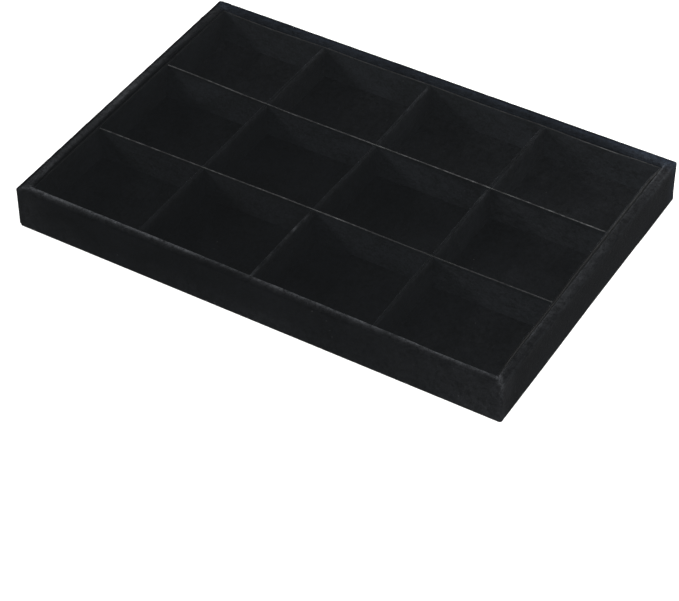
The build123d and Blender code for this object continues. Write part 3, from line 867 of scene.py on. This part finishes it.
# long dividers: card core, velvet facing on each side, slots open below
cuts = [(x - 1.25, x + 1.25) for x in SHORT_X]
z_cut = Z_LAP + 0.15
for n, (name, y) in enumerate(zip(("front", "back"), LONG_Y)):
    body = f"long_divider_{name}"
    end = XL - 0.3

    def lean(U, Z, name=name):
        return bow(LONG_BOW[name], U) * felt(Z)

    def trim(U, Z, y=y):
        # the right end stands clear of the leaning liner
        return -bow(RIGHT_BOW, y) * felt(Z, 6.0) * np.clip((U - 150.0) / 17.5, 0.0, 1.0)

    def edge_wear_and_light(U, Z, name=name, n=n):
        # the core's cut top edge lighter and darker along it: partly dust and wear, partly painted highlight and shade
        along = np.stack([U, np.zeros_like(U), np.full_like(U, 9.0 * n)], -1)
        v = np.where(U < 38.0, 1.9, 1.4 if name == "front" else 2.2) * (0.10 * noise(along, 26.0, 250) + 0.26 * noise(along, 7.0, 251) + 0.56 * noise(along, 3.0, 252))
        if name == "front":
            more = bow(((-165, 0.48), (-140, 0.44), (-110, 0.08), (-66, 0.09), (-25, 0.06), (15, 0.38), (48, -0.26), (110, -0.44), (132, 0.06), (165, 0.08)), U)
        else:
            more = bow(((-165, 0.45), (-130, 0.42), (-66, 0.34), (-25, 0.16), (20, 0.32), (61, 0.37), (104, 0.46), (146, 0.80), (165, 0.86)), U)
        return np.clip(v + more, -0.6, 1.0)

    def lighter(U, Z, name=name):
        """Painted light in the right cells; painted shade along the top edge and, on the front divider, across the left
        and middle cells, on the back divider in its left cell.
        """
        P = np.stack([U, Z, np.zeros_like(U)], -1)
        if name == "back":
            more = 0.020 * smooth01((U + 4.0) / 6.0) - 0.09 * smooth01((-84.0 - U) / 6.0) - 0.14 * smooth01((Z - 23.0) / 3.0) - 0.34 * smooth01((Z - 25.2) / 0.9)
        else:
            more = bow(((-165, -0.22), (-90, -0.24), (-84, -0.36), (-10, -0.33), (0, -0.15), (60, -0.12), (80, 0.0)), U) - 0.22 * smooth01((Z - 25.2) / 0.9)
        return (0.060 * smooth01((U - 78.0) / 14.0) + more) * (0.75 + 0.5 * noise(P, 9.0, 255))

    core = standing(
        f"{body}_card_core", "x", -end, end, y - 0.5, 1, 1.0, Z_FOOT, Z_TOP, 200 + 40 * n,
        nap=0.0, round_top=0.1, wave=0.0, rag=0.10, step=1.2, cuts=cuts, z_cut=z_cut, lean=lean, trim=trim, paint=edge_wear_and_light,
    )
    placed(core, body, "card", card_mat, f"{body}_card")
    for s, tag in ((-1, "near"), (1, "far")):
        f = standing(
            f"{body}_velvet_{tag}", "x", -end, end, y + s * 0.5, s, 0.3, Z_FOOT, Z_TOP, 210 + 40 * n + (10 if s > 0 else 0),
            nap=0.05, round_top=0.3, wave=0.02, rag=0.10, step=1.25, cuts=cuts, z_cut=z_cut, lean=lean, trim=trim, paint=lighter,
        )
        placed(f, body, "long_divider_velvet", long_mat, f"{body}_velvet")


# short dividers: velvet folded over the card, slots open above
def fold_profile():
    """Height and half-width round the fold, from one foot over the top to the other."""
    half, r, ztop = 1.25, 0.95, Z_TOP
    out = [(-half, Z_FOOT, -1.0, 0.0)]
    zs = list(np.linspace(Z_FOOT + 1.2, Z_LAP - 0.15 - 1.0, 8)) + [Z_LAP - 0.15] + list(np.linspace(Z_LAP + 1.0, ztop - r, 9))
    out += [(-half, z, -1.0, 0.0) for z in zs]
    for k in range(1, 10):
        a = math.pi * k / 10.0
        out.append((-half * math.cos(a), ztop - r + r * math.sin(a), -math.cos(a), math.sin(a)))
    out += [(half, z, 1.0, 0.0) for z in reversed(zs)]
    out.append((half, Z_FOOT, 1.0, 0.0))
    return np.array(out)


FP = fold_profile()
for n, (name, x) in enumerate(zip(("left", "middle", "right"), SHORT_X)):
    body = f"short_divider_{name}"
    end = YL - 0.3
    slots = []
    for tag, y in zip(("front", "back"), LONG_Y):
        off = float(bow(LONG_BOW[tag], x))
        slots.append((y - 0.95 + min(0.0, off), y + 0.95 + max(0.0, off)))

    def back_trim(U, Z, x=x):
        # the back end stands clear of the leaning liner
        return -float(bow(BACK_BOW, x)) * felt(Z, 6.0) * np.clip((U - 98.0) / 14.5, 0.0, 1.0)

    def short_lean(U, Z, name=name):
        return bow(SHORT_BOW[name], U) * felt(Z)

    marks = [v for s in slots for v in s]
    us = spaced(-end, end, 1.1, fine=marks, fine_step=0.6, reach=1.2)
    top_k = int(np.argmax(FP[:, 1]))
    z_slot = Z_LAP - 0.15

    def outer(U, V, x=x, n=n):
        k = np.asarray(V).astype(int)
        w, z, nx, nz = (FP[k, j] for j in range(4))
        P = np.stack([x + w * 3.0, U, z], -1)
        h = 0.05 * noise(P, 30.0, 300 + n) + 0.06 * noise(P, 5.5, 310 + n) + 0.055 * noise(P, 2.6, 320 + n)
        h = np.minimum(h, 0.13) * smooth01((z - Z_FOOT) / 1.0)
        flat = np.stack([np.full_like(U, x), U, np.zeros_like(U)], -1)
        lean = 0.10 * noise(flat, 38.0, 330 + n) * smooth01((z - 15.0) / 12.0) + short_lean(U, z)
        return np.stack([x + w + nx * h + lean, U + back_trim(U, z), z + nz * h], -1)

    def inner(U, V, x=x, n=n):
        k = np.asarray(V).astype(int)
        w, z = FP[k, 0], FP[k, 1]
        wi = np.clip(w, -0.61, 0.61)
        zi = np.minimum(z, Z_TOP - 0.49)
        flat = np.stack([np.full_like(U, x), U, np.zeros_like(U)], -1)
        lean = 0.10 * noise(flat, 38.0, 330 + n) * smooth01((z - 15.0) / 12.0) + short_lean(U, z)
        return np.stack([x + wi + lean, U + back_trim(U, z), zi], -1)

    def crest(U, V, name=name):
        """Painted highlight along the fold of the middle divider, front and back, and painted shade along the folds
        elsewhere.
        """
        z = FP[np.asarray(V).astype(int), 1]
        w = FP[np.asarray(V).astype(int), 0]
        along = np.stack([U, np.zeros_like(U), np.full_like(U, float(n))], -1)
        coarse = 1.0
        if name == "middle":
            v = np.interp(U, (-113, -80, -70, -50, -34, 30, 43, 75, 113), (0.20, 0.17, 0.08, 0.03, -0.12, -0.16, -0.05, -0.02, 0.05))
            coarse = 1.5 + 6.0 * smooth01((-U - 36.0) / 8.0) + 0.6 * smooth01((U - 70.0) / 8.0)
        elif name == "right":
            v = -0.22 + 0.30 * np.exp(-((U - 28.0) / 8.0) ** 2) + 0.18 * smooth01((U - 70.0) / 30.0)
        else:
            v = -0.26 + 0.05 * smooth01((U - 40.0) / 6.0) + 0.24 * smooth01((U - 60.0) / 40.0)
        v = (v + coarse * (0.10 * noise(along, 9.0, 351) + 0.08 * noise(along, 3.5, 352))) * smooth01((z - 26.0) / 0.8) * (w < 0.9)
        # painted light down both sides, more higher up
        if name == "left":
            v = v + 0.080 * smooth01((z - 18.0) / 8.0)
        elif name == "middle":
            v = v + 0.010 + 0.068 * smooth01((z - 20.0) / 6.0)
        else:
            v = v + (0.030 + 0.070 * smooth01((z - 20.0) / 6.0)) * (0.45 + 0.55 * smooth01((U + 80.0) / 40.0))
        # painted light on the right-facing side in the back row; in front the left divider's side is a little darker
        # and the right one's a little lighter
        v = v + ({"left": 0.070, "middle": 0.052, "right": 0.085}[name] * smooth01((U - 36.0) / 6.0) + {"left": -0.02, "middle": 0.0, "right": 0.020}[name] * smooth01((36.0 - U) / 6.0)) * (w > 0.9)
        return np.clip(v, -1.0, 1.0)

    def keep(U, V):
        k = np.floor(V).astype(int)
        zc = 0.5 * (FP[k, 1] + FP[k + 1, 1])
        ok = np.ones(U.shape, bool)
        for lo, hi in slots:
            ok &= ~((U > lo) & (U < hi) & (zc > z_slot))
        return ok

    core = standing(
        f"{body}_card_core", "y", -end, end, x - 0.58, 1, 1.16, Z_FOOT, Z_TOP - 0.52, 340 + n, nap=0.0, round_top=0.1,
        wave=0.0, rag=0.0, step=1.6, cuts=slots, z_cut=z_slot, lean=short_lean, trim=back_trim, opens="above",
    )
    placed(core, body, "card", card_mat, f"{body}_card")
    cover = plate(f"{body}_velvet_fold", us, np.arange(len(FP)), outer, inner, keep, paint=crest)
    placed(cover, body, "short_divider_velvet", short_mat, f"{body}_velvet")


# ------------------------------------------------------------------ underside paper
def paper_xy(U, V):
    y = V * 115.0
    x = U * (170.0 - np.maximum(0.0, np.abs(y) - 113.0))
    return x, y


def paper_under(U, V):
    x, y = paper_xy(U, V)
    P = np.stack([x, y, np.zeros_like(x)], -1)
    h = 0.03 * noise(P, 35.0, 401) + 0.02 * noise(P, 9.0, 402)
    edge = np.minimum(170.0 - np.abs(x), 115.0 - np.abs(y))
    h = 0.05 + h - 0.04 * np.exp(-((edge - 7.0) / 1.2) ** 2)        # the turned-in cloth ends under it
    return np.stack([x, y, np.clip(h, 0.0, 0.12)], -1)


def paper_upper(U, V):
    x, y = paper_xy(U, V)
    return np.stack([x, y, np.full_like(x, 0.29)], -1)


vs = np.unique(np.concatenate([np.linspace(-1, 1, 96), [-113.0 / 115.0, 113.0 / 115.0]]))
paper = plate("base_paper_sheet", np.linspace(-1, 1, 140), vs, paper_upper, paper_under)
placed(paper, "case", "base_paper", paper_mat, "base_paper")

# ------------------------------------------------------------------ floor, world and lights
stage_mat = bpy.data.materials.new("white_table")
stage_mat.use_nodes = True
p = stage_mat.node_tree.nodes["Principled BSDF"]
p.inputs["Base Color"].default_value = (0.93, 0.93, 0.93, 1.0)
p.inputs["Roughness"].default_value = 0.9
p.inputs["Specular IOR Level"].default_value = 0.0
p.inputs["Emission Color"].default_value = (1.0, 1.0, 1.0, 1.0)
p.inputs["Emission Strength"].default_value = 0.15         # a light table
me = bpy.data.meshes.new("table_top")
me.from_pydata([(-7, -7, -0.0004), (7, -7, -0.0004), (7, 7, -0.0004), (-7, 7, -0.0004)], [], [(0, 1, 2, 3)])
me.materials.append(stage_mat)
table_top = bpy.data.objects.new("table_top", me)
bpy.context.scene.collection.objects.link(table_top)
table_top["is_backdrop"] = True

world = bpy.data.worlds.new("studio")
bpy.context.scene.world = world
world.use_nodes = True
WORLD = 0.35
world.node_tree.nodes["Background"].inputs["Color"].default_value = (1.0, 1.0, 1.0, 1.0)
world.node_tree.nodes["Background"].inputs["Strength"].default_value = WORLD


def softbox(name, place, aim, size, power, shadow=True, colour=(1.0, 1.0, 1.0)):
    data = bpy.data.lights.new(name, "AREA")
    data.use_shadow = shadow
    data.shape = "DISK"
    data.size = size
    data.energy = power
    data.color = colour
    ob = bpy.data.objects.new(name, data)
    ob.visible_camera = False
    bpy.context.scene.collection.objects.link(ob)
    d = np.array(aim, float) - np.array(place, float)
    z = -d / np.linalg.norm(d)
    x = np.cross((0.0, 0.0, 1.0), z)
    x = x / np.linalg.norm(x) if np.linalg.norm(x) > 1e-6 else np.array((1.0, 0.0, 0.0))
    y = np.cross(z, x)
    ob.matrix_world = Matrix((
        (x[0], y[0], z[0], place[0]), (x[1], y[1], z[1], place[1]), (x[2], y[2], z[2], place[2]), (0, 0, 0, 1),
    ))
    return ob


def stand(direction, distance):
    v = np.array(direction, float)
    return tuple(v / np.linalg.norm(v) * distance)


softbox("key_front_left", stand((-1.35, -2.4, 1.0), 1.8), (0, 0, 0), 0.3, 17.5)
softbox("key_left", stand((-1.6, -0.64, 1.0), 1.8), (0, 0, 0), 0.5, 5.7)
softbox("fill_front", stand((0.0, -1.0, 0.6), 2.5), (0, 0, 0), 1.0, 52.2, shadow=False)
softbox("fill_back", stand((0.0, 1.0, 0.6), 2.5), (0, 0, 0), 1.0, 5.1, shadow=False)
softbox("near_right", (0.42, 0.0, 0.24), (0, 0, 0), 0.2, 1.0, shadow=False)
softbox("near_back", (0.0, 0.36, 0.24), (0, 0, 0), 0.2, 0.84, shadow=False)
softbox("near_back_right", (0.34, 0.30, 0.24), (0, 0, 0), 0.2, 0.24, shadow=False)

bpy.context.scene.view_settings.view_transform = "Standard"
bpy.context.scene.view_settings.look = "None"
bpy.context.scene.view_settings.exposure = 0.0
bpy.context.scene.view_settings.gamma = 1.0
# black lifted a little, as a lens does when it looks at a black thing on a white table
FLARE = (0.0046, 0.0050, 0.0053)
bpy.context.scene.view_settings.use_curve_mapping = True
bpy.context.scene.view_settings.curve_mapping.black_level = tuple(-v for v in FLARE)
bpy.context.scene.view_settings.curve_mapping.update()

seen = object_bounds()


def plain(v):
    """Nested lists of plain numbers."""
    return [plain(x) for x in v] if hasattr(v, "__len__") else float(v)


{"cad": plain(CAD_BOX), "visual": plain(seen)}
